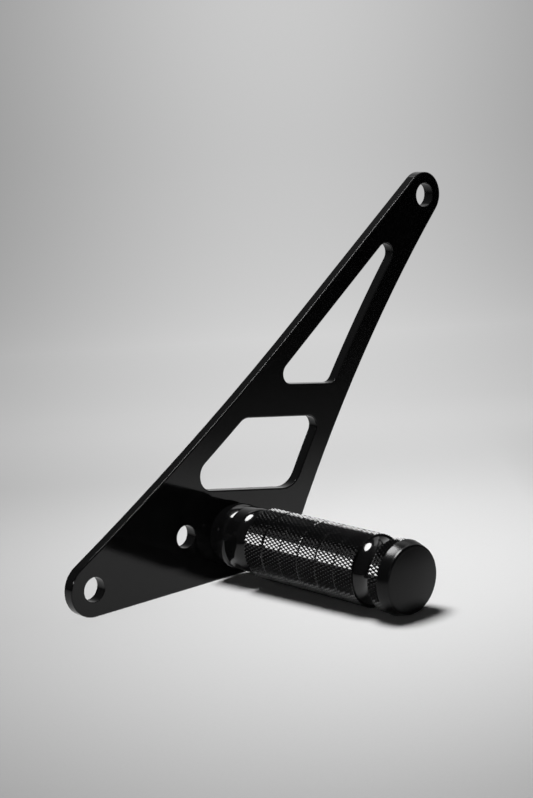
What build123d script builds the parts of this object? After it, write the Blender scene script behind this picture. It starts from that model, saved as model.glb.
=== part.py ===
from build123d import *
from math import cos, hypot, pi, radians, sin, sqrt, tan
import os

# Footpeg bracket: a flat cut plate with three mounting holes, two windows and a knurled
# peg screwed to its front face. Millimetres. X runs along the straight lower edge, Z is up,
# and Y runs through the plate. The origin is the lower hole's centre on the back face,
# the face that bolts to the frame, so the peg stands out towards -Y.

# Plate
plate_thickness = 5.2
edge_break = 0.4

lower_hole_diameter = 10.5
middle_hole_diameter = 10.0
top_hole_diameter = 11.0
middle_hole_x = 49.1
middle_hole_z = 11.4
top_hole_x = 201.8
top_hole_z = 141.2

heel_radius = 11.6
top_end_radius = 10.5
toe_radius = 10.0
toe_centre_x = 100.7
flank_radius = 646.0
spine_angle = 36.74
spine_straight = 90.8

# Windows, set in from the outline, with a strut between them
upper_spine_rim = 9.15
lower_spine_rim = 9.9
flank_rim = 10.0
strut_x = 114.4
strut_z = 59.2
strut_width = 14.35
strut_slope = 8.25
sill_x = 83.1
sill_z = 25.05
sill_slope = 9.65
apex_round = 4.6
upper_window_round = 4.7
lower_window_spine_round = 6.8
lower_window_flank_round = 5.0
lower_window_toe_round = 10.0

# Peg, its lengths counted along its own axis from the plate's front face
peg_x = 75.05
peg_z = 6.95
collar_length = 9.7
collar_crown_radius = 14.1
collar_edge_radius = 13.0
collar_groove_width = 0.6
collar_groove_radius = 12.6
inner_neck_length = 12.3
inner_neck_edge_radius = 14.0
inner_neck_waist_radius = 13.3
grip_radius = 15.0
grip_length = 64.1
grip_bevel = 0.9
grip_bands = 6
band_groove_width = 0.8
band_groove_depth = 0.6
outer_neck_length = 9.0
outer_neck_radius = 13.7
outer_neck_bevel = 0.8
ring_length = 5.2
ring_bevel = 0.4

# End cap
cap_overhang = 0.25
cap_side_length = 5.1
cap_rim_radius = 13.9
cap_rim_bevel = 0.7
cap_crown_height = 0.8
cap_crown_land_radius = 4.0
cap_spigot_radius = 6.0
cap_spigot_length = 10.0
spigot_clearance = 0.1
socket_spare_depth = 1.0

# Countersunk screw that holds the peg from the back
screw_radius = 4.0
screw_head_radius = 8.0
screw_length = 28.0
screw_key_across_flats = 5.0
screw_key_depth = 2.6
screw_tip_bevel = 0.8
screw_clearance = 0.1
screw_sink = 0.3
bore_spare_depth = 3.0

lower_hole = Vector(0, 0)
middle_hole = Vector(middle_hole_x, middle_hole_z)
top_hole = Vector(top_hole_x, top_hole_z)
peg_place = Vector(peg_x, peg_z)


def direction(angle):
    """Unit vector at an angle in degrees, counted from X towards Z."""
    return Vector(cos(radians(angle)), sin(radians(angle)))


def arc_about(centre, radius, start, end):
    """Arc about a centre that bulges away from it, on the side where its ends lie."""
    middle = centre + ((start + end) * 0.5 - centre).normalized() * radius
    return ThreePointArc(start, middle, end)


def circle_tangent_to_both(first, first_reach, second, second_reach):
    """Centre at two given distances from two points, on the right of first to second."""
    span = second - first
    distance = hypot(span.X, span.Y)
    along = (distance**2 + first_reach**2 - second_reach**2) / (2 * distance)
    aside = sqrt(first_reach**2 - along**2)
    unit = span.normalized()
    right = Vector(unit.Y, -unit.X)
    return first + unit * along + right * aside


def line_meets_line(point, heading, other_point, other_heading):
    """Crossing of two lines, each given by a point and a heading."""
    gap = other_point - point
    cross = heading.X * other_heading.Y - heading.Y * other_heading.X
    reach = (gap.X * other_heading.Y - gap.Y * other_heading.X) / cross
    return point + heading * reach


def line_meets_circle(point, heading, centre, radius, near):
    """Crossing of a line and a circle, the one that lies nearer to a given point."""
    offset = point - centre
    half = heading.X * offset.X + heading.Y * offset.Y
    rest = offset.X**2 + offset.Y**2 - radius**2
    root = sqrt(half**2 - rest)
    crossings = [point + heading * (-half - root), point + heading * (-half + root)]
    return min(crossings, key=lambda crossing: (crossing - near).length)


# Outline of the plate: straight foot, round toe, hollow front flank, round top end,
# straight spine that runs into a hollow one, and a heel round the lower hole.
foot_z = -heel_radius
toe_centre = Vector(toe_centre_x, foot_z + toe_radius)
flank_centre = circle_tangent_to_both(
    toe_centre, flank_radius + toe_radius, top_hole, flank_radius + top_end_radius
)

spine_heading = direction(spine_angle)
spine_outward = direction(spine_angle + 90)
spine_top = top_hole + spine_outward * top_end_radius
spine_bend = spine_top - spine_heading * spine_straight
spine_radius = (spine_bend.length**2 - heel_radius**2) / (
    2 * (heel_radius - spine_outward.dot(spine_bend))
)
spine_centre = spine_bend + spine_outward * spine_radius

foot_heel = Vector(0, foot_z)
foot_toe = Vector(toe_centre_x, foot_z)
toe_flank = toe_centre + (flank_centre - toe_centre).normalized() * toe_radius
flank_top = top_hole + (flank_centre - top_hole).normalized() * top_end_radius
heel_spine = lower_hole + (spine_centre - lower_hole).normalized() * heel_radius


def outline_face():
    """The plate's outer shape as one face in the sketch plane."""
    edges = [
        Line(foot_heel, foot_toe),
        arc_about(toe_centre, toe_radius, foot_toe, toe_flank),
        arc_about(flank_centre, flank_radius, toe_flank, flank_top),
        arc_about(top_hole, top_end_radius, flank_top, spine_top),
        Line(spine_top, spine_bend),
        arc_about(spine_centre, spine_radius, spine_bend, heel_spine),
        arc_about(lower_hole, heel_radius, heel_spine, foot_heel),
    ]
    return make_face(edges)


strut_heading = direction(-strut_slope)
strut_up = direction(90 - strut_slope)
strut_middle = Vector(strut_x, strut_z)
strut_upper = strut_middle + strut_up * (strut_width / 2)
strut_lower = strut_middle - strut_up * (strut_width / 2)
flank_inner = flank_radius + flank_rim


def rounded(face, corners):
    """Rounds a flat face's corners, given as (corner, radius) pairs."""
    for corner, radius in corners:
        target = Vector(corner.X, corner.Y, 0)
        vertex = min(face.vertices(), key=lambda v: (v.center() - target).length)
        face = fillet(vertex, radius)
    return face


def upper_window():
    """Three-sided window between the straight spine, the hollow flank and the strut."""
    inner_spine = spine_top - spine_outward * upper_spine_rim
    heel = line_meets_line(inner_spine, spine_heading, strut_upper, strut_heading)
    toe = line_meets_circle(strut_upper, strut_heading, flank_centre, flank_inner, strut_upper)
    apex = line_meets_circle(inner_spine, spine_heading, flank_centre, flank_inner, top_hole)
    face = make_face([
        Line(heel, toe),
        arc_about(flank_centre, flank_inner, toe, apex),
        Line(apex, heel),
    ])
    return rounded(face, [
        (apex, apex_round),
        (heel, upper_window_round),
        (toe, upper_window_round),
    ])


def lower_window():
    """Four-sided window between the hollow spine, the strut, the flank and the sill."""
    sill = Vector(sill_x, sill_z)
    sill_heading = direction(-sill_slope)
    spine_inner = spine_radius + lower_spine_rim
    top_heel = line_meets_circle(strut_lower, strut_heading, spine_centre, spine_inner, strut_lower)
    top_toe = line_meets_circle(strut_lower, strut_heading, flank_centre, flank_inner, strut_lower)
    low_heel = line_meets_circle(sill, sill_heading, spine_centre, spine_inner, sill)
    low_toe = line_meets_circle(sill, sill_heading, flank_centre, flank_inner, sill)
    face = make_face([
        Line(low_heel, low_toe),
        arc_about(flank_centre, flank_inner, low_toe, top_toe),
        Line(top_toe, top_heel),
        arc_about(spine_centre, spine_inner, top_heel, low_heel),
    ])
    return rounded(face, [
        (low_heel, lower_window_spine_round),
        (top_heel, lower_window_spine_round),
        (top_toe, lower_window_flank_round),
        (low_toe, lower_window_toe_round),
    ])


def across_plate(radius, place):
    """A round cutter through the whole plate at one place."""
    return Pos(place.X, 0, place.Y) * extrude(
        Plane.XZ * Circle(radius), plate_thickness * 1.5, both=True
    )


def screw_profile(extra):
    """Half section of the screw, grown sideways by a clearance, with X as the radius."""
    head = screw_head_radius + extra
    shank = screw_radius + extra
    head_height = screw_head_radius - screw_radius
    return [
        (0, 0),
        (head, 0),
        (head, -screw_sink),
        (shank, -screw_sink - head_height),
    ]


def make_plate():
    """The cut plate with broken edges, its windows, holes and countersink."""
    flat = outline_face() - upper_window() - lower_window()
    plate = extrude(Plane.XZ * flat, plate_thickness)
    rims = plate.faces().filter_by(Axis.Y).edges()
    plate = chamfer(rims, edge_break)
    holes = (
        (lower_hole, lower_hole_diameter),
        (middle_hole, middle_hole_diameter),
        (top_hole, top_hole_diameter),
    )
    for place, diameter in holes:
        plate -= across_plate(diameter / 2, place)
    plate -= across_plate(screw_radius + screw_clearance, peg_place)
    countersink = make_face(Polyline(
        *screw_profile(screw_clearance), (0, -screw_sink - screw_head_radius + screw_radius), close=True
    ))
    return plate - Pos(peg_x, 0, peg_z) * revolve(countersink, Axis.Y)


# Stations along the peg, counted from the plate's front face
neck_start = collar_length + collar_groove_width
grip_start = neck_start + inner_neck_length
grip_end = grip_start + grip_length
ring_start = grip_end + outer_neck_length
ring_end = ring_start + ring_length


def peg_section():
    """Half section of the turned peg, with X as the radius and -Y along the peg."""
    step = grip_radius - ring_bevel - outer_neck_radius
    neck_bevel = min(outer_neck_bevel, 0.9 * step)
    collar_crown = (collar_crown_radius, -collar_length / 2)
    waist = (inner_neck_waist_radius, -(neck_start + grip_start) / 2)
    edges = Curve() + [
        Line((0, 0), (collar_edge_radius, 0)),
        ThreePointArc((collar_edge_radius, 0), collar_crown, (collar_edge_radius, -collar_length)),
        Polyline(
            (collar_edge_radius, -collar_length),
            (collar_groove_radius, -(collar_length + neck_start) / 2),
            (inner_neck_edge_radius, -neck_start),
        ),
        ThreePointArc(
            (inner_neck_edge_radius, -neck_start), waist, (inner_neck_edge_radius, -grip_start)
        ),
        Polyline(
            (inner_neck_edge_radius, -grip_start),
            (grip_radius, -grip_start - grip_bevel),
            (grip_radius, -grip_end + ring_bevel),
            (grip_radius - ring_bevel, -grip_end),
            (outer_neck_radius + neck_bevel, -grip_end),
            (outer_neck_radius, -grip_end - neck_bevel),
            (outer_neck_radius, -ring_start + neck_bevel),
            (outer_neck_radius + neck_bevel, -ring_start),
            (grip_radius - ring_bevel, -ring_start),
            (grip_radius, -ring_start - ring_bevel),
            (grip_radius, -ring_end),
            (0, -ring_end),
            (0, 0),
        ),
    ]
    return make_face(edges.edges())


def make_peg():
    """The turned peg with its band grooves, threaded bore and cap socket."""
    front = -plate_thickness
    peg = revolve(peg_section(), Axis.Y)
    band = (grip_length - grip_bevel) / grip_bands
    for number in range(1, grip_bands):
        station = grip_start + grip_bevel + band * number
        groove_root = grip_radius - band_groove_depth
        groove = make_face(Polyline(
            (groove_root, -station),
            (grip_radius + band_groove_depth, -station + band_groove_width),
            (grip_radius + band_groove_depth, -station - band_groove_width),
            close=True,
        ))
        peg -= revolve(groove, Axis.Y)
    bore_radius = screw_radius + screw_clearance
    bore_depth = screw_length - plate_thickness + bore_spare_depth
    bore = make_face(Polyline(
        (0, 0),
        (bore_radius, 0),
        (bore_radius, -bore_depth),
        (0, -bore_depth - bore_radius * tan(pi / 6)),
        close=True,
    ))
    peg -= revolve(bore, Axis.Y)
    socket_radius = cap_spigot_radius + spigot_clearance
    socket_depth = cap_spigot_length + socket_spare_depth
    socket = make_face(Polyline(
        (0, -ring_end),
        (socket_radius, -ring_end),
        (socket_radius, -ring_end + socket_depth),
        (0, -ring_end + socket_depth),
        close=True,
    ))
    peg -= revolve(socket, Axis.Y)
    return Pos(peg_x, front, peg_z) * peg


def make_cap():
    """The end cap: tapered side, broken rim and low crown, with a spigot behind."""
    base_radius = grip_radius + cap_overhang
    rim_station = ring_end + cap_side_length
    crown_top = rim_station + cap_crown_height
    taper = (base_radius - cap_rim_radius) / cap_side_length
    section = make_face(Polyline(
        (0, -ring_end + cap_spigot_length),
        (cap_spigot_radius, -ring_end + cap_spigot_length),
        (cap_spigot_radius, -ring_end),
        (base_radius, -ring_end),
        (cap_rim_radius + taper * cap_rim_bevel, -rim_station + cap_rim_bevel),
        (cap_rim_radius - cap_rim_bevel, -rim_station),
        (cap_crown_land_radius, -crown_top),
        (0, -crown_top),
        close=True,
    ))
    return Pos(peg_x, -plate_thickness, peg_z) * revolve(section, Axis.Y)


def make_screw():
    """Countersunk screw with a hexagon key socket, its head just under the back face."""
    shank_end = -screw_length
    section = make_face(Polyline(
        (0, -screw_sink),
        *screw_profile(0)[2:],
        (screw_radius, shank_end + screw_tip_bevel),
        (screw_radius - screw_tip_bevel, shank_end),
        (0, shank_end),
        close=True,
    ))
    screw = revolve(section, Axis.Y)
    key_radius = screw_key_across_flats / sqrt(3)
    key = extrude(Plane.XZ * RegularPolygon(key_radius, 6), screw_sink + screw_key_depth)
    return Pos(peg_x, 0, peg_z) * (screw - key)


os.makedirs("parts", exist_ok=True)
nodes = {
    "bracket_plate": make_plate(),
    "footpeg": make_peg(),
    "end_cap": make_cap(),
    "peg_screw": make_screw(),
}
for name, solid in nodes.items():
    export_step(solid, f"parts/{name}.step")
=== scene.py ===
"""Footpeg bracket on a studio sweep: coated plate, knurled peg, end cap and hidden screw."""

import logging
import math
from dataclasses import dataclass
from enum import Enum

import bmesh
import bpy
from mathutils import Matrix, Vector


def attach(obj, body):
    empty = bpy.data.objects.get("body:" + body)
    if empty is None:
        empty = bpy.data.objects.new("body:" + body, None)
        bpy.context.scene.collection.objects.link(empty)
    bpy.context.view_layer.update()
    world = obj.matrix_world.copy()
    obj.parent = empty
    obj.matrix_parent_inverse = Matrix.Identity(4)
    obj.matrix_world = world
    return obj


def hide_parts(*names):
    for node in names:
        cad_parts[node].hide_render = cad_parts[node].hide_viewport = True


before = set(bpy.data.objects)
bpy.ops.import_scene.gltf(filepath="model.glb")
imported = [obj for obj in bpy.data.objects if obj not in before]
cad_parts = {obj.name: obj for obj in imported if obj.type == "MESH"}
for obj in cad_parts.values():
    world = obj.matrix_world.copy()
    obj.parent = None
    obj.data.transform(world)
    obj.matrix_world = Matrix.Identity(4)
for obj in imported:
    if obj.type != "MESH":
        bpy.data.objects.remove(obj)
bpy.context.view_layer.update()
LOG = logging.getLogger("footpeg_bracket")

NodeTree = bpy.types.NodeTree
Socket = bpy.types.NodeSocket
Span = tuple[float, float]
Triple = tuple[float, float, float]
Section = list[tuple[float, float]]

MM = 0.001
MICROMETRES_PER_MM = 1000

# Two points, or two radii, nearer than this are the same, in metres.
SAME_POINT = 1e-7
SAME_RADIUS = 1e-5

# The peg and its cap stand on this axis, in millimetres, at the plate's front face.
PEG_X = 75.05
PEG_Z = 6.95
PLATE_FRONT = -5.2
PEG_FOOT = Vector((PEG_X * MM, PLATE_FRONT * MM, PEG_Z * MM))


class Slot(Enum):
    """Names of the peg's and the cap's material slots."""

    PEG = "anodised_peg"
    CAP = "cap_plastic"


class Node(Enum):
    """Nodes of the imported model."""

    PLATE = "bracket_plate"
    PEG = "footpeg"
    CAP = "end_cap"
    SCREW = "peg_screw"


class LampShape(Enum):
    """Outlines of a soft light."""

    RECTANGLE = "RECTANGLE"
    ELLIPSE = "ELLIPSE"


# Shader helpers

# Ranges, weights and noise octaves of the shared groups and the finishes.
RISING = (0.0, 1.0)
FALLING = (1.0, 0.0)
FINE_OCTAVES = 3.0
SLOW_OCTAVES = 4.0
SPECK_OCTAVES = 2.0
FINE_SHARE = 0.4
SPREAD_GAIN = 4.0
NOISE_MEAN = 0.5
UPWARD_RANGE = (0.2, 1.0)
SPECK_RANGE = (0.62, 0.78)
PATCH_RANGE = (0.35, 0.7)
PATCH_TINT = (0.0, 0.5)
DUST_ROUGHENS = 0.3
BEVEL_SAMPLES = 8


def new_group(name: str, inputs: dict[str, float], outputs: list[str]) -> NodeTree:
    """Makes a shader node group with named number sockets.

    Args:
        name: The group's name.
        inputs: Name and default value of each number that goes in.
        outputs: Name of each number that comes out.

    Returns:
        The empty group, with its input and output nodes placed.
    """
    tree = bpy.data.node_groups.new(name, "ShaderNodeTree")
    for label, value in inputs.items():
        socket = tree.interface.new_socket(label, in_out="INPUT", socket_type="NodeSocketFloat")
        socket.default_value = value
    for label in outputs:
        tree.interface.new_socket(label, in_out="OUTPUT", socket_type="NodeSocketFloat")
    tree.nodes.new("NodeGroupInput")
    tree.nodes.new("NodeGroupOutput")
    return tree


def feed(tree: NodeTree, value: float | Socket, socket: Socket) -> None:
    """Sets a socket to a number, or links another socket to it.

    Args:
        tree: The node tree.
        value: The number or the socket that goes in.
        socket: The socket that takes it.
    """
    if isinstance(value, (int, float)):
        socket.default_value = value
    else:
        tree.links.new(value, socket)


def math_node(tree: NodeTree, operation: str, *values: float | Socket) -> Socket:
    """Adds one Math node.

    Args:
        tree: The node tree.
        operation: The operation's identifier.
        values: Numbers or sockets, in the order of the node's inputs.

    Returns:
        The result's socket.
    """
    node = tree.nodes.new("ShaderNodeMath")
    node.operation = operation
    for number, value in enumerate(values):
        feed(tree, value, node.inputs[number])
    return node.outputs[0]


def map_range(tree: NodeTree, value: Socket, source: Span, target: Span) -> Socket:
    """Adds a clamped Map Range node.

    Args:
        tree: The node tree.
        value: The socket that is mapped.
        source: The two values that become the target's ends.
        target: The results at those two values, beyond which nothing goes.

    Returns:
        The result's socket.
    """
    node = tree.nodes.new("ShaderNodeMapRange")
    tree.links.new(value, node.inputs["Value"])
    for label, number in zip(("From Min", "From Max", "To Min", "To Max"), (*source, *target)):
        node.inputs[label].default_value = number
    return node.outputs["Result"]


def noise(tree: NodeTree, scale: float | Socket, octaves: float) -> Socket:
    """Adds a noise texture on Object coordinates.

    Args:
        tree: The node tree.
        scale: Repeats per metre.
        octaves: Octaves of finer noise.

    Returns:
        The noise's factor socket.
    """
    coordinates = tree.nodes.new("ShaderNodeTexCoord").outputs["Object"]
    node = tree.nodes.new("ShaderNodeTexNoise")
    node.inputs["Detail"].default_value = octaves
    tree.links.new(coordinates, node.inputs["Vector"])
    feed(tree, scale, node.inputs["Scale"])
    return node.outputs["Fac"]


def surface_grain() -> NodeTree:
    """Builds the group that gives each finish its fine skin and slow patches.

    Returns:
        The group: Grain Scale, Patch Scale, Roughness and Spread in, Roughness, Height and Patch out.
    """
    inputs = {"Grain Scale": 900.0, "Patch Scale": 25.0, "Roughness": 0.3, "Spread": 0.05}
    tree = new_group("surface_grain", inputs, ["Roughness", "Height", "Patch"])
    source = tree.nodes["Group Input"].outputs
    result = tree.nodes["Group Output"].inputs
    fine = noise(tree, source["Grain Scale"], FINE_OCTAVES)
    slow = noise(tree, source["Patch Scale"], SLOW_OCTAVES)
    fine_part = math_node(tree, "MULTIPLY", fine, FINE_SHARE)
    slow_part = math_node(tree, "MULTIPLY", slow, 1.0 - FINE_SHARE)
    centred = math_node(tree, "SUBTRACT", math_node(tree, "ADD", fine_part, slow_part), NOISE_MEAN)
    reach = math_node(tree, "MULTIPLY", source["Spread"], SPREAD_GAIN)
    wander = math_node(tree, "MULTIPLY", centred, reach)
    tree.links.new(math_node(tree, "ADD", source["Roughness"], wander), result["Roughness"])
    tree.links.new(fine, result["Height"])
    tree.links.new(slow, result["Patch"])
    return tree


def settled_dust() -> NodeTree:
    """Builds the group that lets a little dust lie on faces that look up.

    Returns:
        The group: Amount and Speck Scale in, Mask out.
    """
    tree = new_group("settled_dust", {"Amount": 0.1, "Speck Scale": 700.0}, ["Mask"])
    source = tree.nodes["Group Input"].outputs
    split = tree.nodes.new("ShaderNodeSeparateXYZ")
    tree.links.new(tree.nodes.new("ShaderNodeNewGeometry").outputs["Normal"], split.inputs[0])
    upward = map_range(tree, split.outputs["Z"], UPWARD_RANGE, RISING)
    specks = map_range(tree, noise(tree, source["Speck Scale"], SPECK_OCTAVES), SPECK_RANGE, RISING)
    mask = math_node(tree, "MULTIPLY", math_node(tree, "MULTIPLY", upward, specks), source["Amount"])
    tree.links.new(mask, tree.nodes["Group Output"].inputs["Mask"])
    return tree


@dataclass(frozen=True)
class Finish:
    """A hard black finish: its colour, gloss and the fine skin on it.

    Attributes:
        name: The material's name.
        dark: Base colour of most of the surface.
        light: Base colour of its paler patches and dust.
        roughness: Mean roughness.
        spread: How far the roughness wanders.
        grain_scale: Repeats of the fine skin per metre.
        patch_scale: Repeats of the slow patches per metre.
        bump: Height of the fine skin, in metres.
        index: Index of refraction.
        dust: Amount of dust on faces that look up.
        metallic: 1 for bare metal, otherwise 0.
        edge_round: Radius of the shading's rounded edges, in metres.
    """

    name: str
    dark: Triple
    light: Triple
    roughness: float
    spread: float
    grain_scale: float
    patch_scale: float
    bump: float
    index: float
    dust: float = 0.0
    metallic: float = 0.0
    edge_round: float = 0.0

    def add_skin(self, tree: NodeTree, grain: NodeTree) -> bpy.types.bpy_prop_collection:
        """Places the grain group with this finish's values.

        Args:
            tree: The material's node tree.
            grain: The shared grain group.

        Returns:
            The outputs of the placed group.
        """
        skin = tree.nodes.new("ShaderNodeGroup")
        skin.node_tree = grain
        skin.inputs["Grain Scale"].default_value = self.grain_scale
        skin.inputs["Patch Scale"].default_value = self.patch_scale
        skin.inputs["Roughness"].default_value = self.roughness
        skin.inputs["Spread"].default_value = self.spread
        return skin.outputs

    def add_bump(self, tree: NodeTree, height: Socket) -> Socket:
        """Raises the fine skin and, where the finish asks for it, rounds the edges' shading.

        Args:
            tree: The material's node tree.
            height: Height of the fine skin.

        Returns:
            The normal's socket.
        """
        bump = tree.nodes.new("ShaderNodeBump")
        bump.inputs["Strength"].default_value = 1.0
        bump.inputs["Distance"].default_value = self.bump
        tree.links.new(height, bump.inputs["Height"])
        if self.edge_round > 0.0:
            rounded = tree.nodes.new("ShaderNodeBevel")
            rounded.samples = BEVEL_SAMPLES
            rounded.inputs["Radius"].default_value = self.edge_round
            tree.links.new(rounded.outputs["Normal"], bump.inputs["Normal"])
        return bump.outputs["Normal"]

    def build(self, grain: NodeTree, dust: NodeTree) -> bpy.types.Material:
        """Builds the material.

        Args:
            grain: The shared grain group.
            dust: The shared dust group.

        Returns:
            The finished material.
        """
        material = bpy.data.materials.new(self.name)
        material.use_nodes = True
        tree = material.node_tree
        shader = tree.nodes["Principled BSDF"]
        shader.inputs["IOR"].default_value = self.index
        shader.inputs["Metallic"].default_value = self.metallic
        skin = self.add_skin(tree, grain)
        settled = tree.nodes.new("ShaderNodeGroup")
        settled.node_tree = dust
        settled.inputs["Amount"].default_value = self.dust
        dusty = settled.outputs["Mask"]
        tint = tree.nodes.new("ShaderNodeMix")
        tint.data_type = "RGBA"
        tint.inputs["A"].default_value = (*self.dark, 1.0)
        tint.inputs["B"].default_value = (*self.light, 1.0)
        patch = map_range(tree, skin["Patch"], PATCH_RANGE, PATCH_TINT)
        tree.links.new(math_node(tree, "ADD", patch, dusty), tint.inputs["Factor"])
        tree.links.new(tint.outputs["Result"], shader.inputs["Base Color"])
        dulled = math_node(tree, "MULTIPLY", dusty, DUST_ROUGHENS)
        tree.links.new(math_node(tree, "ADD", skin["Roughness"], dulled), shader.inputs["Roughness"])
        tree.links.new(self.add_bump(tree, skin["Height"]), shader.inputs["Normal"])
        return material


POWDER_COAT = Finish(
    name="powder_coat", dark=(0.004, 0.004, 0.0041), light=(0.0052, 0.0052, 0.0053),
    roughness=0.07, spread=0.01, grain_scale=1500.0, patch_scale=20.0, bump=0.0000002, index=1.38,
    edge_round=0.0005,
)
BLACK_ANODISE = Finish(
    name="black_anodise", dark=(0.003, 0.003, 0.0032), light=(0.005, 0.005, 0.0052),
    roughness=0.1, spread=0.03, grain_scale=2500.0, patch_scale=60.0, bump=0.000001, index=1.45,
)
MOULDED_BLACK = Finish(
    name="moulded_black", dark=(0.003, 0.003, 0.0032), light=(0.005, 0.005, 0.0052),
    roughness=0.22, spread=0.03, grain_scale=2600.0, patch_scale=60.0, bump=0.00001, index=1.3,
    dust=0.03,
)
BLACK_OXIDE = Finish(
    name="black_oxide", dark=(0.03, 0.03, 0.032), light=(0.06, 0.058, 0.056),
    roughness=0.35, spread=0.08, grain_scale=2000.0, patch_scale=200.0, bump=0.000004, index=1.5,
    metallic=1.0,
)


# Mesh helpers


def quarter_turn(steps: int) -> list[float]:
    """Angles of a quarter turn in equal steps, without the first and with the last.

    Args:
        steps: Number of steps.

    Returns:
        The angles, in radians.
    """
    return [math.radians(90.0 * number / steps) for number in range(1, steps + 1)]


def micrometres(millimetres: float) -> int:
    """A length in whole micrometres, so that equal stations become equal numbers."""
    return round(millimetres * MICROMETRES_PER_MM)


def in_metres(span: Span) -> Span:
    """A range in millimetres, turned into metres."""
    return span[0] * MM, span[1] * MM


def arc_points(start: tuple[float, float], rise: float, end: tuple[float, float], count: int) -> Section:
    """Points of a shallow arc between two points of a half section.

    Args:
        start: Radius and station of the first end.
        rise: How far the middle stands outside the straight line, negative for a hollow.
        end: Radius and station of the other end.
        count: Number of pieces the arc is divided into.

    Returns:
        The points, both ends included.
    """
    points = []
    for number in range(count + 1):
        share = number / count
        bow = rise * (1.0 - (2.0 * share - 1.0) ** 2)
        radius = start[0] + (end[0] - start[0]) * share + bow
        points.append((radius, start[1] + (end[1] - start[1]) * share))
    return points


def spin_section(section: Section, steps: int) -> bmesh.types.BMesh:
    """Turns a half section about the Y axis.

    Args:
        section: Radius and station of each point, in millimetres, along the section.
        steps: Segments round the circle.

    Returns:
        The closed turned mesh, its faces looking outwards.
    """
    mesh = bmesh.new()
    chain = [mesh.verts.new((radius * MM, -station * MM, 0.0)) for radius, station in section]
    edges = [mesh.edges.new(pair) for pair in zip(chain, chain[1:])]
    bmesh.ops.spin(
        mesh, geom=chain + edges, cent=(0, 0, 0), axis=(0, 1, 0), dvec=(0, 0, 0),
        angle=math.tau, steps=steps, use_merge=True, use_duplicate=False,
    )
    bmesh.ops.remove_doubles(mesh, verts=mesh.verts, dist=SAME_POINT)
    bmesh.ops.recalc_face_normals(mesh, faces=mesh.faces)
    return mesh


def new_object(mesh: bmesh.types.BMesh, name: str, material: bpy.types.Material) -> bpy.types.Object:
    """Writes a mesh into an object that sits at the origin.

    Args:
        mesh: The mesh, which is freed.
        name: The name of the object and its mesh.
        material: The finish.

    Returns:
        The new object.
    """
    data = bpy.data.meshes.new(name)
    mesh.to_mesh(data)
    mesh.free()
    data.materials.append(material)
    piece = bpy.data.objects.new(name, data)
    bpy.context.scene.collection.objects.link(piece)
    return piece


def stand_in(
    mesh: bmesh.types.BMesh, name: str, material: bpy.types.Material, smooth_angle: float,
    node: Node,
) -> bpy.types.Object:
    """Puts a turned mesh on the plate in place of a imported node.

    Args:
        mesh: The mesh, about its own axis.
        name: The piece's name.
        material: The finish.
        smooth_angle: Faces that meet at less than this angle, in degrees, shade smoothly.
        node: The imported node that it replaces.

    Returns:
        The piece.
    """
    bmesh.ops.translate(mesh, vec=PEG_FOOT, verts=mesh.verts)
    for face in mesh.faces:
        face.smooth = True
    for edge in mesh.edges:
        if len(edge.link_faces) == 2:
            edge.smooth = edge.calc_face_angle(0.0) < math.radians(smooth_angle)
    piece = new_object(mesh, name, material)
    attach(piece, "root")
    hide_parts(node.value)
    return piece


# Pieces

# How many pieces each curve of the turned sections is divided into.
COLLAR_STEPS = 20
STRAIGHT_STEPS = 6
FALL_STEPS = 14
WAIST_STEPS = 16
SIDE_STEPS = 8
RIM_STEPS = 8
DOME_STEPS = 12


@dataclass(frozen=True)
class PackedPiece:
    """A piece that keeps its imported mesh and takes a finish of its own.

    Attributes:
        node: The piece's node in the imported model.
    """

    node: Node

    def dress(self, material: bpy.types.Material) -> bpy.types.Object:
        """Puts the finish on the piece.

        Args:
            material: The finish.

        Returns:
            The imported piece.
        """
        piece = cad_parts[self.node.value]
        piece.data.materials.clear()
        piece.data.materials.append(material)
        return piece


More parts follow.
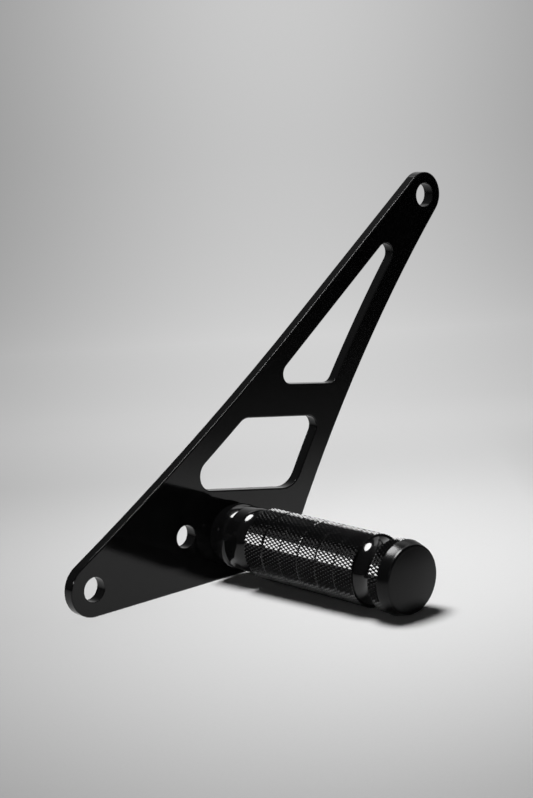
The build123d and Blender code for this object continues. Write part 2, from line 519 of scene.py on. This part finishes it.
@dataclass(frozen=True)
class KnurledPeg:
    """The turned peg with its pressed diamond knurl.

    Sizes are in millimetres, and stations count from the plate's front face outwards.

    Attributes:
        collar_length: Length of the barrel-shaped collar.
        collar_edge: Radius of the collar's two ends.
        collar_crown: Radius of the collar's middle.
        groove_bottom: Radius at the bottom of the groove beside the collar.
        neck_start: Station where the inner neck begins.
        neck_edge: Radius of the neck's straight part.
        neck_foot: Radius that the neck falls to beside the grip.
        neck_straight: Length of the straight part.
        neck_step: Length of the neck's foot, up to the grip.
        grip_start: Station where the grip begins.
        grip_bevel: Length of the bevel at the grip's start.
        grip_end: Station where the grip ends.
        grip_radius: Radius over the teeth of the grip and of the end ring.
        bands: Number of bands that the ring grooves leave.
        groove_width: Width of each ring groove.
        groove_depth: Depth of each ring groove.
        groove_cuts: Where rings are cut to shape a groove, in half widths from its middle.
        groove_reach: How far from a groove the faces that may cross it can lie.
        groove_slack: How far outside a groove a vertex still counts as its rim.
        outer_neck_edge: Radius of the outer neck's ends.
        outer_neck_waist: Radius of the outer neck's middle.
        outer_neck_step: Length of the step between the outer neck and the knurl beside it.
        ring_start: Station where the end ring begins.
        ring_end: Station where the end ring ends and the cap sits.
        edge_bevel: Bevel at the other ends of the knurled parts.
        bore_radius: Radius of the screw's bore.
        bore_depth: Depth of the screw's bore.
        drill_point: Length of the cone at the bore's end.
        socket_radius: Radius of the cap's socket.
        socket_depth: Depth of the cap's socket.
        inside_radius: Radius between the bore or socket and everything outside.
        columns: Half diamonds round the grip.
        tooth_pitch: Half length of a diamond along the axis.
        tooth_depth: Depth of the pressed grooves.
        crest_flat: Width that is worn off each tooth.
        smooth_angle: Faces that meet at less than this angle, in degrees, shade smoothly.
    """

    collar_length: float = 9.7
    collar_edge: float = 13.0
    collar_crown: float = 14.1
    groove_bottom: float = 12.6
    neck_start: float = 10.3
    neck_edge: float = 13.8
    neck_foot: float = 10.5
    neck_straight: float = 5.2
    neck_step: float = 0.3
    grip_start: float = 22.6
    grip_bevel: float = 1.4
    grip_end: float = 86.7
    grip_radius: float = 15.0
    bands: int = 6
    groove_width: float = 1.1
    groove_depth: float = 0.9
    groove_cuts: tuple[float, ...] = (-1.0, -0.5, 0.0, 0.5, 1.0)
    groove_reach: float = 3.0
    groove_slack: float = 1e-4
    outer_neck_edge: float = 14.0
    outer_neck_waist: float = 13.05
    outer_neck_step: float = 0.25
    ring_start: float = 95.7
    ring_end: float = 100.9
    edge_bevel: float = 0.3
    bore_radius: float = 4.1
    bore_depth: float = 25.8
    drill_point: float = 2.4
    socket_radius: float = 6.1
    socket_depth: float = 11.0
    inside_radius: float = 10.0
    columns: int = 118
    tooth_pitch: float = 1.43
    tooth_depth: float = 0.62
    crest_flat: float = 0.04
    smooth_angle: float = 18.0

    def knurl_rows(self, start: float, end: float) -> list[float]:
        """Stations of the knurl's rows on one knurled part.

        Args:
            start: Station of the first row.
            end: Station of the last row.

        Returns:
            The stations, both ends included.
        """
        count = round((end - start) / self.tooth_pitch)
        return [start + (end - start) * number / count for number in range(count + 1)]

    def grip_rows(self) -> list[float]:
        """Stations of the knurl's rows on the grip."""
        return self.knurl_rows(self.grip_start + self.grip_bevel, self.grip_end - self.edge_bevel)

    def ring_rows(self) -> list[float]:
        """Stations of the knurl's rows on the end ring."""
        return self.knurl_rows(self.ring_start + self.edge_bevel, self.ring_end - self.edge_bevel)

    def inner_neck(self) -> Section:
        """Section of the inner neck: straight, then falling ever more steeply to the grip.

        Returns:
            The points from the groove beside the collar to the grip. The straight part is divided
            too, which keeps its shading even.
        """
        fall_start = self.neck_start + self.neck_straight
        fall_length = self.grip_start - self.neck_step - fall_start
        fall = self.neck_edge - self.neck_foot
        straight = [
            (self.neck_edge, self.neck_start + self.neck_straight * number / STRAIGHT_STEPS)
            for number in range(STRAIGHT_STEPS + 1)
        ]
        shares = [number / FALL_STEPS for number in range(1, FALL_STEPS + 1)]
        falling = [(self.neck_edge - fall * share**2, fall_start + fall_length * share) for share in shares]
        return straight + falling + [(self.neck_foot, self.grip_start)]

    def outer_neck(self) -> Section:
        """Section of the waisted outer neck, from the grip to the end ring."""
        first = (self.outer_neck_edge, self.grip_end + self.outer_neck_step)
        last = (self.outer_neck_edge, self.ring_start - self.outer_neck_step)
        return arc_points(first, self.outer_neck_waist - self.outer_neck_edge, last, WAIST_STEPS)

    def section(self) -> Section:
        """Half section of the peg.

        Returns:
            Radius and station of each point, from the bore's end to the socket's end.
        """
        collar = arc_points(
            (self.collar_edge, 0.0), self.collar_crown - self.collar_edge,
            (self.collar_edge, self.collar_length), COLLAR_STEPS,
        )
        bevelled = self.grip_radius - self.edge_bevel
        socket_end = self.ring_end - self.socket_depth
        return [
            (0.0, self.bore_depth + self.drill_point),
            (self.bore_radius, self.bore_depth),
            (self.bore_radius, 0.0),
            *collar,
            (self.groove_bottom, (self.collar_length + self.neck_start) / 2),
            *self.inner_neck(),
            *((self.grip_radius, station) for station in self.grip_rows()),
            (bevelled, self.grip_end),
            *self.outer_neck(),
            (bevelled, self.ring_start),
            *((self.grip_radius, station) for station in self.ring_rows()),
            (bevelled, self.ring_end),
            (self.socket_radius, self.ring_end),
            (self.socket_radius, socket_end),
            (0.0, socket_end),
        ]

    def press_knurl(self, mesh: bmesh.types.BMesh) -> None:
        """Presses every other vertex of the knurl's rows in and creases the grooves between them.

        Args:
            mesh: The turned peg, about its own axis.
        """
        low = set()
        crests = []
        step = math.tau / self.columns
        share = 1.0 - self.tooth_depth / self.grip_radius
        rows = self.grip_rows() + self.ring_rows()
        row_numbers = {micrometres(station): number for number, station in enumerate(rows)}
        for vertex in mesh.verts:
            row = row_numbers.get(micrometres(-vertex.co.y / MM))
            if row is None or abs(vertex.co.xz.length - self.grip_radius * MM) > SAME_RADIUS:
                continue
            column = round(math.atan2(vertex.co.z, vertex.co.x) / step)
            if (row + column) % 2 == 0:
                low.add(vertex)
            else:
                crests.append(vertex)
        for vertex in low:
            vertex.co.x *= share
            vertex.co.z *= share
        for face in list(mesh.faces):
            pair = [vertex for vertex in face.verts if vertex in low]
            if len(face.verts) == 4 and len(pair) == 2 and mesh.edges.get(pair) is None:
                bmesh.utils.face_split(face, pair[0], pair[1])
        bmesh.ops.bevel(
            mesh, geom=crests, offset=self.crest_flat * MM, offset_type="OFFSET", segments=1,
            profile=0.5, affect="VERTICES", material=-1, clamp_overlap=True,
        )

    def cut_rings(self, mesh: bmesh.types.BMesh, station: float) -> None:
        """Cuts rings of edges into the knurl, so that a groove can be sunk there.

        Args:
            mesh: The knurled peg, about its own axis.
            station: Station of the groove's middle.
        """
        for shift in self.groove_cuts:
            faces = [
                face for face in mesh.faces
                if abs(-face.calc_center_median().y / MM - station) < self.groove_reach
                and face.verts[0].co.xz.length > self.inside_radius * MM
            ]
            edges = {edge for face in faces for edge in face.edges}
            corners = {vertex for face in faces for vertex in face.verts}
            cut = station + shift * self.groove_width / 2
            bmesh.ops.bisect_plane(
                mesh, geom=[*corners, *edges, *faces], dist=SAME_POINT,
                plane_co=(0.0, -cut * MM, 0.0), plane_no=(0.0, 1.0, 0.0),
            )

    def sink_groove(self, mesh: bmesh.types.BMesh, station: float) -> None:
        """Brings the teeth near a station down to the walls of a V-groove.

        Args:
            mesh: The knurled peg, with rings cut at this groove.
            station: Station of the groove's middle.
        """
        half = self.groove_width / 2
        for vertex in mesh.verts:
            offset = abs(-vertex.co.y / MM - station)
            radius = vertex.co.xz.length
            if offset > half + self.groove_slack or radius < self.inside_radius * MM:
                continue
            limit = (self.grip_radius - self.groove_depth * (1.0 - offset / half)) * MM
            if radius > limit:
                vertex.co.x *= limit / radius
                vertex.co.z *= limit / radius

    def build(self, material: bpy.types.Material) -> bpy.types.Object:
        """Turns, knurls and grooves the peg.

        Args:
            material: The anodised finish.

        Returns:
            The peg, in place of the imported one.
        """
        mesh = spin_section(self.section(), self.columns)
        self.press_knurl(mesh)
        first = self.grip_start + self.grip_bevel
        band = (self.grip_end - first) / self.bands
        for number in range(1, self.bands):
            station = first + band * number
            self.cut_rings(mesh, station)
            self.sink_groove(mesh, station)
        return stand_in(mesh, "knurled_footpeg", material, self.smooth_angle, Node.PEG)


@dataclass(frozen=True)
class EndCap:
    """The moulded cap on the peg's outer end.

    Sizes are in millimetres, and stations count from the plate's front face outwards.

    Attributes:
        seat: Station of the cap's base, on the peg's end ring.
        base_radius: Radius of the cap's base.
        base_bevel: Bevel round the base.
        base_land: Straight land above that bevel, which levels the shading where the taper starts.
        side_length: Length from the base to the rim.
        side_bow: How far the tapered side swells outside a straight line.
        rim_radius: Radius where the taper meets the rounded rim.
        rim_round: Radius of the rounded rim.
        dome_height: How far the face's middle stands proud of the rim.
        spigot_clearance: Gap between the spigot and the peg's socket.
        spigot_length: Length of the spigot.
        spigot_bevel: Bevel at the spigot's end.
        steps: Segments round the cap.
        smooth_angle: Faces that meet at less than this angle, in degrees, shade smoothly.
    """

    seat: float = KnurledPeg.ring_end
    base_radius: float = 15.25
    base_bevel: float = 0.15
    base_land: float = 0.01
    side_length: float = 5.1
    side_bow: float = 0.08
    rim_radius: float = 14.0
    rim_round: float = 0.9
    dome_height: float = 0.8
    spigot_clearance: float = 0.1
    spigot_length: float = 10.0
    spigot_bevel: float = 0.5
    steps: int = 128
    smooth_angle: float = 35.0

    def section(self) -> Section:
        """Half section of the cap.

        Returns:
            Radius and station of each point, from the spigot's end to the dome's top.
        """
        spigot_radius = KnurledPeg.socket_radius - self.spigot_clearance
        spigot_end = self.seat - self.spigot_length
        rim = self.seat + self.side_length
        face_radius = self.rim_radius - self.rim_round
        taper_start = self.seat + self.base_bevel + self.base_land
        side = arc_points(
            (self.base_radius, taper_start), self.side_bow,
            (self.rim_radius, rim - self.rim_round), SIDE_STEPS,
        )
        rounding = [
            (face_radius + self.rim_round * math.cos(turn), rim - self.rim_round * (1.0 - math.sin(turn)))
            for turn in quarter_turn(RIM_STEPS)
        ]
        shares = [1.0 - number / DOME_STEPS for number in range(1, DOME_STEPS + 1)]
        dome = [(face_radius * share, rim + self.dome_height * (1.0 - share**2)) for share in shares]
        return [
            (0.0, spigot_end),
            (spigot_radius - self.spigot_bevel, spigot_end),
            (spigot_radius, spigot_end + self.spigot_bevel),
            (spigot_radius, self.seat),
            (self.base_radius - self.base_bevel, self.seat),
            (self.base_radius, self.seat + self.base_bevel),
            *side,
            *rounding,
            *dome,
        ]

    def build(self, material: bpy.types.Material) -> bpy.types.Object:
        """Turns the cap.

        Args:
            material: The moulded finish.

        Returns:
            The cap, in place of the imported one.
        """
        mesh = spin_section(self.section(), self.steps)
        return stand_in(mesh, "domed_end_cap", material, self.smooth_angle, Node.CAP)


# Studio

CURVE_STEPS = 24

# The sensor's width is in millimetres, and the camera's far limit in metres.
SENSOR_WIDTH = 36.0
CLIP_END = 50.0


@dataclass(frozen=True)
class SoftLight:
    """One soft light that looks at the peg. Sizes are in millimetres.

    Attributes:
        name: The light's name.
        direction: From the peg towards the light.
        distance: Distance from the peg.
        width: Width of the light.
        height: Height of the light.
        power: Power in watts.
        shape: Outline of the light.
        mirrored_only: Whether it lights only what mirrors it, and no matt surface.
    """

    name: str
    direction: Triple
    distance: float
    width: float
    height: float
    power: float
    shape: LampShape = LampShape.RECTANGLE
    mirrored_only: bool = False

    def hang(self, target: Vector) -> bpy.types.Object:
        """Hangs the light.

        Args:
            target: The point that it looks at, in metres.

        Returns:
            The light's object.
        """
        lamp = bpy.data.lights.new(self.name, type="AREA")
        lamp.shape = self.shape.value
        lamp.size = self.width * MM
        lamp.size_y = self.height * MM
        lamp.energy = self.power
        holder = bpy.data.objects.new(self.name, lamp)
        unit = Vector(self.direction).normalized()
        holder.location = target + unit * self.distance * MM
        holder.rotation_euler = unit.to_track_quat("Z", "Y").to_euler()
        holder.visible_diffuse = not self.mirrored_only
        bpy.context.scene.collection.objects.link(holder)
        return holder


OVERHEAD_SOFTBOX = SoftLight(
    name="overhead_softbox", direction=(-0.035, 0.22, 0.975), distance=650.0,
    width=340.0, height=240.0, power=5.0, shape=LampShape.ELLIPSE,
)
LEFT_LAMP = SoftLight(
    name="left_lamp", direction=(-0.737, -0.609, 0.36), distance=1500.0,
    width=160.0, height=160.0, power=0.9,
)
SIDE_CARD = SoftLight(
    name="side_card", direction=(0.66, 0.47, 0.72), distance=1600.0,
    width=1200.0, height=900.0, power=2.4, mirrored_only=True,
)


@dataclass(frozen=True)
class Sweep:
    """White paper that runs away from the viewer as a floor and then rises as a wall.

    Sizes are in millimetres. Distances along it count from below the plate's lower bore, away from
    the viewer, and distances across it count to the viewer's right.

    Attributes:
        touch_y: Y of the line where the plate's lower edge stands.
        touch_z: Z of that line.
        lean: Rise of the sweep towards the viewer, in degrees, which lets the cap rest on it.
        facing: Direction in which the sweep runs away, in degrees from +Y to +X.
        half_width: Half of the sweep's width.
        front_reach: How far the floor comes towards the viewer.
        level_floor: Two stations near the bracket that keep the floor's shading level there.
        curve_start: Where the floor begins to rise.
        wall_radius: Radius of the curve between floor and wall.
        wall_height: Height of the wall.
        pool_centre: Where the middle of the pool of light painted on the paper lies across the sweep.
        pool_shift: How much further across it lies round the bracket.
        shift_begins: Distances over which the pool takes up that shift.
        shift_ends: Distances over which the pool gives it up again.
        pool_widths: How wide the pool is near the viewer and far away.
        pool_widens: Distances over which the pool widens.
        shade_edge: Where, to the right of the bracket, painted shade darkens the paper.
        shade_depth: Share of the paper's tone that this painted shade takes.
        shade_ends: Distances over which the painted shade ends.
        tones: Share of white along the sweep, with light and shade painted in, as distance and tone.
        glow_begins: Distances over which the paper's own glow takes over from the lamps.
        glow_behind: Distances towards the viewer over which the glow takes over too.
        glow_beside: Distances to either side over which the glow takes over too.
        surround_tone: Palest grey that the camera sees outside the pool.
        fibre_scale: Repeats of the paper's fibre per metre.
        fibre_range: Values of the fibre's noise that give its darkest and its lightest tone.
        fibre_contrast: How much the fibre darkens and lightens the paper.
        roughness: Roughness of the paper.
        sheen: Specular level of the paper.
    """

    touch_y: float = PLATE_FRONT
    touch_z: float = -11.6
    lean: float = 1.873
    facing: float = 42.0
    half_width: float = 2500.0
    front_reach: float = 4000.0
    level_floor: Span = (-200.0, 200.0)
    curve_start: float = 700.0
    wall_radius: float = 500.0
    wall_height: float = 1800.0
    pool_centre: float = 110.0
    pool_shift: float = 55.0
    shift_begins: Span = (-200.0, 0.0)
    shift_ends: Span = (250.0, 450.0)
    pool_widths: Span = (200.0, 370.0)
    pool_widens: Span = (-200.0, 300.0)
    shade_edge: Span = (200.0, 320.0)
    shade_depth: float = 0.62
    shade_ends: Span = (150.0, 350.0)
    # Painted light and shade: the paper's share of white falls nearly to black towards the viewer, dips,
    # and dims far away.
    tones: tuple[Span, ...] = (
        (-600.0, 0.03), (-300.0, 0.43), (-150.0, 0.69), (0.0, 0.82), (150.0, 0.78), (270.0, 0.68),
        (400.0, 0.86), (700.0, 0.68), (1020.0, 0.52), (1150.0, 0.6),
    )
    glow_begins: Span = (100.0, 750.0)
    glow_behind: Span = (-500.0, -210.0)
    glow_beside: Span = (300.0, 750.0)
    surround_tone: float = 0.32
    fibre_scale: float = 900.0
    fibre_range: Span = (0.3, 0.7)
    fibre_contrast: float = 0.008
    roughness: float = 0.9
    sheen: float = 0.1

    def sheet_places(self, tree: NodeTree) -> tuple[Socket, Socket]:
        """Distances along and across the sweep.

        Args:
            tree: The sweep material's node tree.

        Returns:
            The sockets of the distance along and the distance across, in metres.
        """
        turned = tree.nodes.new("ShaderNodeVectorRotate")
        turned.rotation_type = "Z_AXIS"
        turned.inputs["Angle"].default_value = math.radians(self.facing)
        coordinates = tree.nodes.new("ShaderNodeTexCoord").outputs["Object"]
        tree.links.new(coordinates, turned.inputs["Vector"])
        split = tree.nodes.new("ShaderNodeSeparateXYZ")
        tree.links.new(turned.outputs["Vector"], split.inputs[0])
        return split.outputs["Y"], split.outputs["X"]

    def painted_light_along(self, tree: NodeTree, along: Socket) -> Socket:
        """Share of white along the middle of the pool, with light and shade painted in: nearly black
        towards the viewer and dimmer far away.

        Args:
            tree: The sweep material's node tree.
            along: Distance along the sweep.

        Returns:
            The tone's socket.
        """
        low, high = in_metres((self.tones[0][0], self.tones[-1][0]))
        ramp = tree.nodes.new("ShaderNodeValToRGB")
        ramp.color_ramp.interpolation = "B_SPLINE"
        stops = ramp.color_ramp.elements
        ready = len(stops)
        for number, (distance, tone) in enumerate(self.tones):
            place = (distance * MM - low) / (high - low)
            stop = stops[number] if number < ready else stops.new(place)
            stop.position = place
            stop.color = (tone, tone, tone, 1.0)
        tree.links.new(map_range(tree, along, (low, high), RISING), ramp.inputs["Fac"])
        return ramp.outputs["Color"]

    def pool(self, tree: NodeTree, along: Socket, across: Socket) -> Socket:
        """How the painted light falls off to both sides of the pool's middle.

        Args:
            tree: The sweep material's node tree.
            along: Distance along the sweep.
            across: Distance across the sweep.

        Returns:
            The fall-off's socket, 1 in the middle.
        """
        # Painted light: a pool of brightness painted into the paper's colour, shifted aside round the
        # bracket.
        shift = self.pool_shift * MM
        begins = map_range(tree, along, in_metres(self.shift_begins), (0.0, shift))
        ends = map_range(tree, along, in_metres(self.shift_ends), (shift, 0.0))
        shifted = math_node(tree, "MINIMUM", begins, ends)
        middle = math_node(tree, "ADD", shifted, self.pool_centre * MM)
        width = map_range(tree, along, in_metres(self.pool_widens), in_metres(self.pool_widths))
        scaled = math_node(tree, "DIVIDE", math_node(tree, "SUBTRACT", across, middle), width)
        squared = math_node(tree, "MULTIPLY", scaled, scaled)
        return math_node(tree, "DIVIDE", 1.0, math_node(tree, "ADD", squared, 1.0))

    def tone(self, tree: NodeTree, along: Socket, across: Socket) -> Socket:
        """Tone of the paper, with light and shade painted in: a painted pool of light round the bracket and
        painted shade to its right.

        Args:
            tree: The sweep material's node tree.
            along: Distance along the sweep.
            across: Distance across the sweep.

        Returns:
            The tone's socket.
        """
        pooled = math_node(tree, "MULTIPLY", self.painted_light_along(tree, along), self.pool(tree, along, across))
        # Painted shade: the paper darkens to the right of the bracket, near by.
        shade = map_range(tree, across, in_metres(self.shade_edge), (0.0, self.shade_depth))
        close = map_range(tree, along, in_metres(self.shade_ends), FALLING)
        beside = math_node(tree, "SUBTRACT", 1.0, math_node(tree, "MULTIPLY", shade, close))
        shaded = math_node(tree, "MULTIPLY", pooled, beside)
        contrast = (1.0 - self.fibre_contrast, 1.0 + self.fibre_contrast)
        fibre = map_range(tree, noise(tree, self.fibre_scale, FINE_OCTAVES), self.fibre_range, contrast)
        return math_node(tree, "MULTIPLY", shaded, fibre)

    def glow_mask(self, tree: NodeTree, rays: bpy.types.Node, along: Socket, across: Socket) -> Socket:
        """Where the paper shows its own even glow, and to which rays.

        Args:
            tree: The sweep material's node tree.
            rays: The Light Path node.
            along: Distance along the sweep.
            across: Distance across the sweep.

        Returns:
            The mask's socket.
        """
        in_view = rays.outputs["Is Camera Ray"]
        seen = math_node(tree, "MAXIMUM", in_view, rays.outputs["Is Glossy Ray"])
        seen = math_node(tree, "MAXIMUM", seen, rays.outputs["Is Transmission Ray"])
        far = map_range(tree, along, in_metres(self.glow_begins), RISING)
        behind = map_range(tree, along, in_metres(self.glow_behind), FALLING)
        aside = math_node(tree, "ABSOLUTE", across)
        beyond = map_range(tree, aside, in_metres(self.glow_beside), RISING)
        outside = math_node(tree, "MULTIPLY", in_view, math_node(tree, "MAXIMUM", behind, beyond))
        return math_node(tree, "MAXIMUM", math_node(tree, "MULTIPLY", seen, far), outside)

    def material(self) -> bpy.types.Material:
        """Matte paper, painted with a pool of light and shade, that takes the bracket's shadow near by and
        glows evenly far away.

        Returns:
            The paper's material.
        """
        material = bpy.data.materials.new("paper_sweep")
        material.use_nodes = True
        tree = material.node_tree
        along, across = self.sheet_places(tree)
        rays = tree.nodes.new("ShaderNodeLightPath")
        palest = math_node(tree, "MULTIPLY", rays.outputs["Is Camera Ray"], self.surround_tone)
        shown = math_node(tree, "MAXIMUM", self.tone(tree, along, across), palest)
        colour = tree.nodes.new("ShaderNodeCombineColor")
        for channel in ("Red", "Green", "Blue"):
            tree.links.new(shown, colour.inputs[channel])
        paper = tree.nodes["Principled BSDF"]
        paper.inputs["Roughness"].default_value = self.roughness
        paper.inputs["Specular IOR Level"].default_value = self.sheen
        tree.links.new(colour.outputs["Color"], paper.inputs["Base Color"])
        # Painted light: far away the paper glows with its painted tone instead of taking the lamps' light.
        glow = tree.nodes.new("ShaderNodeEmission")
        tree.links.new(colour.outputs["Color"], glow.inputs["Color"])
        mix = tree.nodes.new("ShaderNodeMixShader")
        tree.links.new(self.glow_mask(tree, rays, along, across), mix.inputs[0])
        tree.links.new(paper.outputs[0], mix.inputs[1])
        tree.links.new(glow.outputs[0], mix.inputs[2])
        tree.links.new(mix.outputs[0], tree.nodes["Material Output"].inputs["Surface"])
        return material

    def side_line(self) -> list[tuple[float, float]]:
        """The sweep seen from the side.

        Returns:
            Distance along and height of each point, from the viewer's end to the wall's top.
        """
        radius = self.wall_radius
        curve = [
            (self.curve_start + radius * math.sin(turn), radius * (1.0 - math.cos(turn)))
            for turn in quarter_turn(CURVE_STEPS)
        ]
        floor = [(along, 0.0) for along in (-self.front_reach, *self.level_floor, self.curve_start)]
        return floor + curve + [(self.curve_start + radius, self.wall_height)]

    def build(self) -> bpy.types.Object:
        """Draws the sheet across the side line and lays it under the bracket.

        Returns:
            The sweep.
        """
        mesh = bmesh.new()
        side = -self.half_width * MM
        chain = [mesh.verts.new((side, along * MM, height * MM)) for along, height in self.side_line()]
        edges = [mesh.edges.new(pair) for pair in zip(chain, chain[1:])]
        drawn = bmesh.ops.extrude_edge_only(mesh, edges=edges)["geom"]
        corners = [item for item in drawn if isinstance(item, bmesh.types.BMVert)]
        bmesh.ops.translate(mesh, verts=corners, vec=(-2 * side, 0.0, 0.0))
        bmesh.ops.recalc_face_normals(mesh, faces=mesh.faces)
        leaned = Matrix.Rotation(math.radians(-self.lean), 4, "X")
        turned = Matrix.Rotation(math.radians(-self.facing), 4, "Z")
        bmesh.ops.transform(mesh, matrix=leaned @ turned, verts=mesh.verts)
        bmesh.ops.translate(mesh, verts=mesh.verts, vec=(0.0, self.touch_y * MM, self.touch_z * MM))
        for face in mesh.faces:
            face.smooth = True
        sheet = new_object(mesh, "studio_sweep", self.material())
        return sheet


@dataclass(frozen=True)
class Studio:
    """The soft lights, the dim room and the camera round the bracket.

    Attributes:
        aim: The point on the peg that the lights look at, in millimetres.
        room_colour: Colour of the room.
        room_light: Strength of the room's light on matt surfaces.
        room_mirrored: Strength of the room as glossy surfaces mirror it.
        surround_tone: Grey that the camera sees where it looks past the sweep.
        focal_px: Focal length in pixels of the photograph.
        photo_height: Height of the photograph in pixels.
        camera_place: Place of the camera in millimetres.
        azimuth: Direction in which the camera looks, in degrees from +Y to +X.
        pitch: How far it looks down, in degrees.
        roll: How far it is turned about its own axis, in degrees.
    """

    aim: Triple = (75.0, -50.0, 10.0)
    room_colour: Triple = (0.5, 0.5, 0.51)
    room_light: float = 0.012
    room_mirrored: float = 0.12
    surround_tone: float = Sweep.surround_tone
    focal_px: float = 1852.04
    photo_height: float = 798.0
    camera_place: Triple = (-428.073, -589.696, 219.484)
    azimuth: float = 41.997
    pitch: float = 11.295
    roll: float = -2.565

    def light(self, blockers: list[bpy.types.Object]) -> None:
        """Hangs the soft lights.

        Args:
            blockers: Pieces that stand in the way of the overhead softbox.
        """
        target = Vector(self.aim) * MM
        softbox = OVERHEAD_SOFTBOX.hang(target)
        LEFT_LAMP.hang(target)
        SIDE_CARD.hang(target)
        near_peg = bpy.data.collections.new("softbox_blockers")
        for piece in blockers:
            near_peg.objects.link(piece)
        softbox.light_linking.blocker_collection = near_peg

    def darken_room(self) -> bpy.types.World:
        """Makes the room dim for the lamps' sake, and pale where the camera sees it.

        Returns:
            The world.
        """
        world = bpy.data.worlds.new("dim_room")
        bpy.context.scene.world = world
        world.use_nodes = True
        tree = world.node_tree
        backdrop = tree.nodes["Background"]
        backdrop.inputs["Color"].default_value = (*self.room_colour, 1.0)
        rays = tree.nodes.new("ShaderNodeLightPath").outputs
        lit = map_range(tree, rays["Is Glossy Ray"], RISING, (self.room_light, self.room_mirrored))
        pale = self.surround_tone / self.room_colour[0]
        in_view = math_node(tree, "MULTIPLY", rays["Is Camera Ray"], pale)
        tree.links.new(math_node(tree, "MAXIMUM", lit, in_view), backdrop.inputs["Strength"])
        return world

    def place_camera(self) -> bpy.types.Object:
        """Puts the camera at the photograph's place.

        Returns:
            The camera's object.
        """
        lens = bpy.data.cameras.new("studio_camera")
        lens.sensor_fit = "AUTO"
        lens.sensor_width = SENSOR_WIDTH
        lens.lens = SENSOR_WIDTH * self.focal_px / self.photo_height
        lens.clip_end = CLIP_END
        camera = bpy.data.objects.new("studio_camera", lens)
        turn, tilt, bank = (math.radians(angle) for angle in (self.azimuth, self.pitch, self.roll))
        level_ahead = Vector((math.sin(turn), math.cos(turn), 0.0))
        forward = level_ahead * math.cos(tilt) - Vector((0.0, 0.0, math.sin(tilt)))
        level = Vector((math.cos(turn), -math.sin(turn), 0.0))
        upward = level.cross(forward)
        right = level * math.cos(bank) + upward * math.sin(bank)
        top = upward * math.cos(bank) - level * math.sin(bank)
        basis = Matrix((right, top, -forward)).transposed().to_4x4()
        camera.matrix_world = Matrix.Translation(Vector(self.camera_place) * MM) @ basis
        bpy.context.scene.collection.objects.link(camera)
        bpy.context.scene.camera = camera
        return camera


def main() -> None:
    """Builds the bracket piece by piece, then the studio round it."""
    logging.basicConfig(level=logging.INFO, format="%(message)s")
    grain = surface_grain()
    dust = settled_dust()
    plate = PackedPiece(Node.PLATE).dress(POWDER_COAT.build(grain, dust))
    LOG.info("plate coated: %s", plate.name)
    peg = KnurledPeg().build(BLACK_ANODISE.build(grain, dust))
    LOG.info("peg turned and knurled: %d faces", len(peg.data.polygons))
    cap = EndCap().build(MOULDED_BLACK.build(grain, dust))
    LOG.info("cap moulded: %d faces", len(cap.data.polygons))
    screw = PackedPiece(Node.SCREW).dress(BLACK_OXIDE.build(grain, dust))
    LOG.info("screw finished: %s", screw.name)
    Sweep().build()
    studio = Studio()
    studio.light([peg, cap, screw])
    studio.darken_room()
    studio.place_camera()
    bpy.context.scene.view_settings.view_transform = "Standard"
    LOG.info("studio set")


if __name__ == "__main__":
    main()
